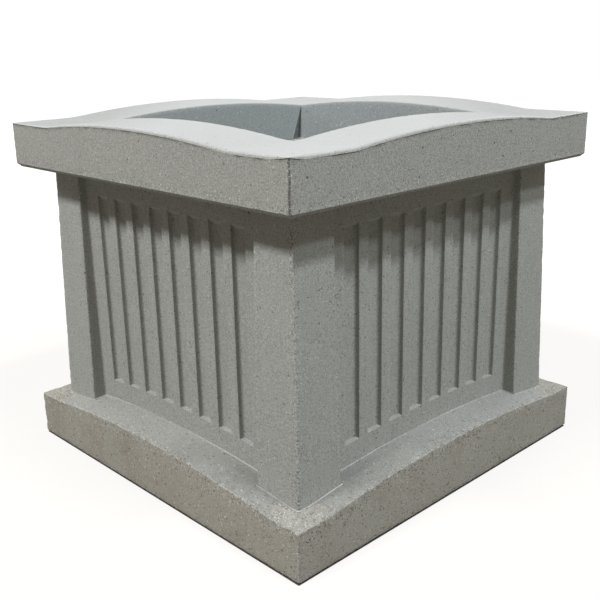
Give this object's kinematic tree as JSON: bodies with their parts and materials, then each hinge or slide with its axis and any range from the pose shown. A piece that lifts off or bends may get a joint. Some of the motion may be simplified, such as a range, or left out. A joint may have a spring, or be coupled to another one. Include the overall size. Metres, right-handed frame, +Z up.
{
  "type": "square planter",
  "caption": "Square cast-stone planter with a splayed plinth, fluted panels between corner pilasters and an overhanging rim arched on each side",
  "frame": {"origin": "on the ground under the middle of the planter, at the underside of the bearing pads", "axes": "+Z up; X and Y square to the four equal sides, so the front faces -Y and the right side faces +X; the lower layer of plinth bars runs along X"},
  "size_m": [0.762, 0.762, 0.6515],
  "materials": {
    "plinth_stone": "weathered cast stone, rough arrises with exposed aggregate",
    "body_stone": "cast stone, faint upright brush marks, small pinholes",
    "rim_stone": "trowelled cast stone on top, brushed on the faces",
    "mortar": "fine pale mortar, tooled smooth",
    "stainless_steel": "bright drawn bar",
    "bar_steel": "hot-rolled bar with a light bloom of rust",
    "socket_steel": "yellow-passivated zinc plating",
    "sleeve_plastic": "grey extruded pipe",
    "strainer_plastic": "black moulded plastic",
    "pad_rubber": "matt black sheet rubber"
  },
  "bodies": {
    "root": {"plinth": "plinth_stone", "body": "body_stone", "rim": "rim_stone", "plinth_joint": "mortar", "rim_joint": "mortar", "plinth_dowels": "stainless_steel", "rim_dowels": "stainless_steel", "plinth_bars_lower": "bar_steel", "plinth_bars_upper": "bar_steel", "body_bars": "bar_steel", "body_uprights": "bar_steel", "rim_bars": "bar_steel", "lifting_sockets": "socket_steel", "socket_pins": "bar_steel", "drain_sleeve": "sleeve_plastic", "drain_strainer": "strainer_plastic", "bearing_pads": "pad_rubber"}
  },
  "joints": []
}
